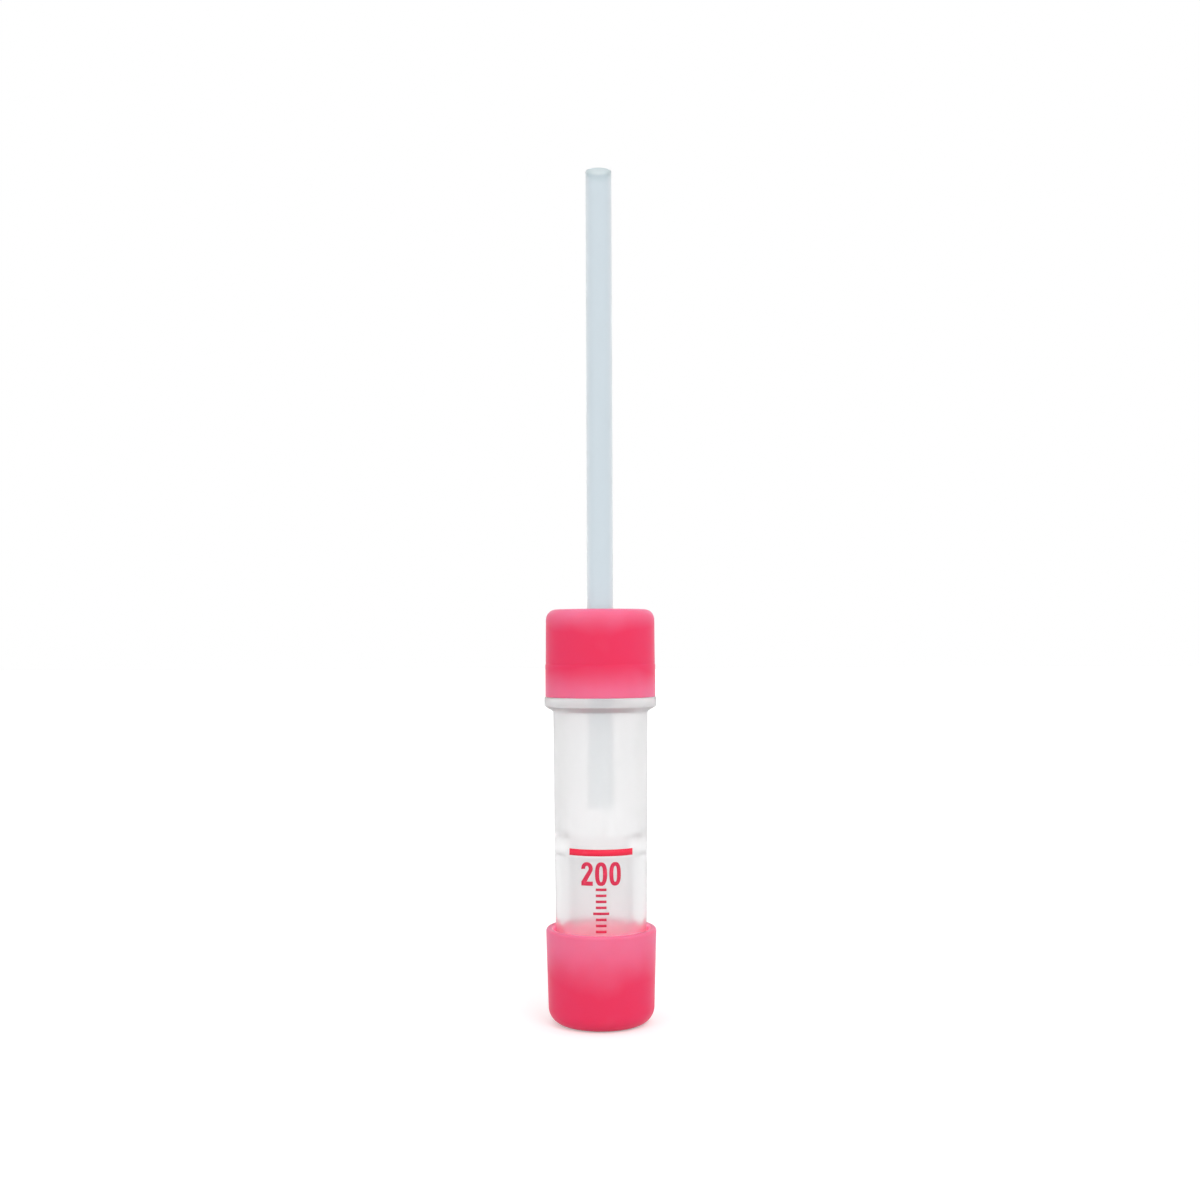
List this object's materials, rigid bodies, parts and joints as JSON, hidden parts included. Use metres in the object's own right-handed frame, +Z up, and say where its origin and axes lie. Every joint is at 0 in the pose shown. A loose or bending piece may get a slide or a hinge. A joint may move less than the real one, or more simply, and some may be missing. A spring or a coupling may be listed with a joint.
{
  "type": "capillary blood collection tube",
  "caption": "Small clear tube for finger-prick blood, standing in a red closure cap, with a red collection cap on its neck that holds a long upright capillary.",
  "frame": {"origin": "centre of the closure cap's flat underside, on the surface that the tube stands on", "axes": "+Z up, along the common axis of the tube, both caps and the capillary; +X to the right and -Y to the front, where the printed fill line is"},
  "size_m": [0.0108, 0.0108, 0.0821],
  "materials": {
    "cap_red": "satin",
    "clear_tube": "gloss",
    "capillary_clear": "gloss",
    "print_red": "satin"
  },
  "bodies": {
    "closure": {"closure_cap": "cap_red"},
    "tube": {"tube_body": "clear_tube"},
    "collector": {"collection_cap": "cap_red"},
    "capillary_rod": {"capillary": "capillary_clear"}
  },
  "joints": [
    {"name": "tube_lift", "type": "slide", "parent": "closure", "child": "tube", "axis": [0, 0, 1], "range_m": [0, 0.012]},
    {"name": "collector_lift", "type": "slide", "parent": "tube", "child": "collector", "axis": [0, 0, 1], "range_m": [0, 0.018]},
    {"name": "capillary_draw", "type": "slide", "parent": "collector", "child": "capillary_rod", "axis": [0, 0, 1], "range_m": [0, 0.024]}
  ]
}
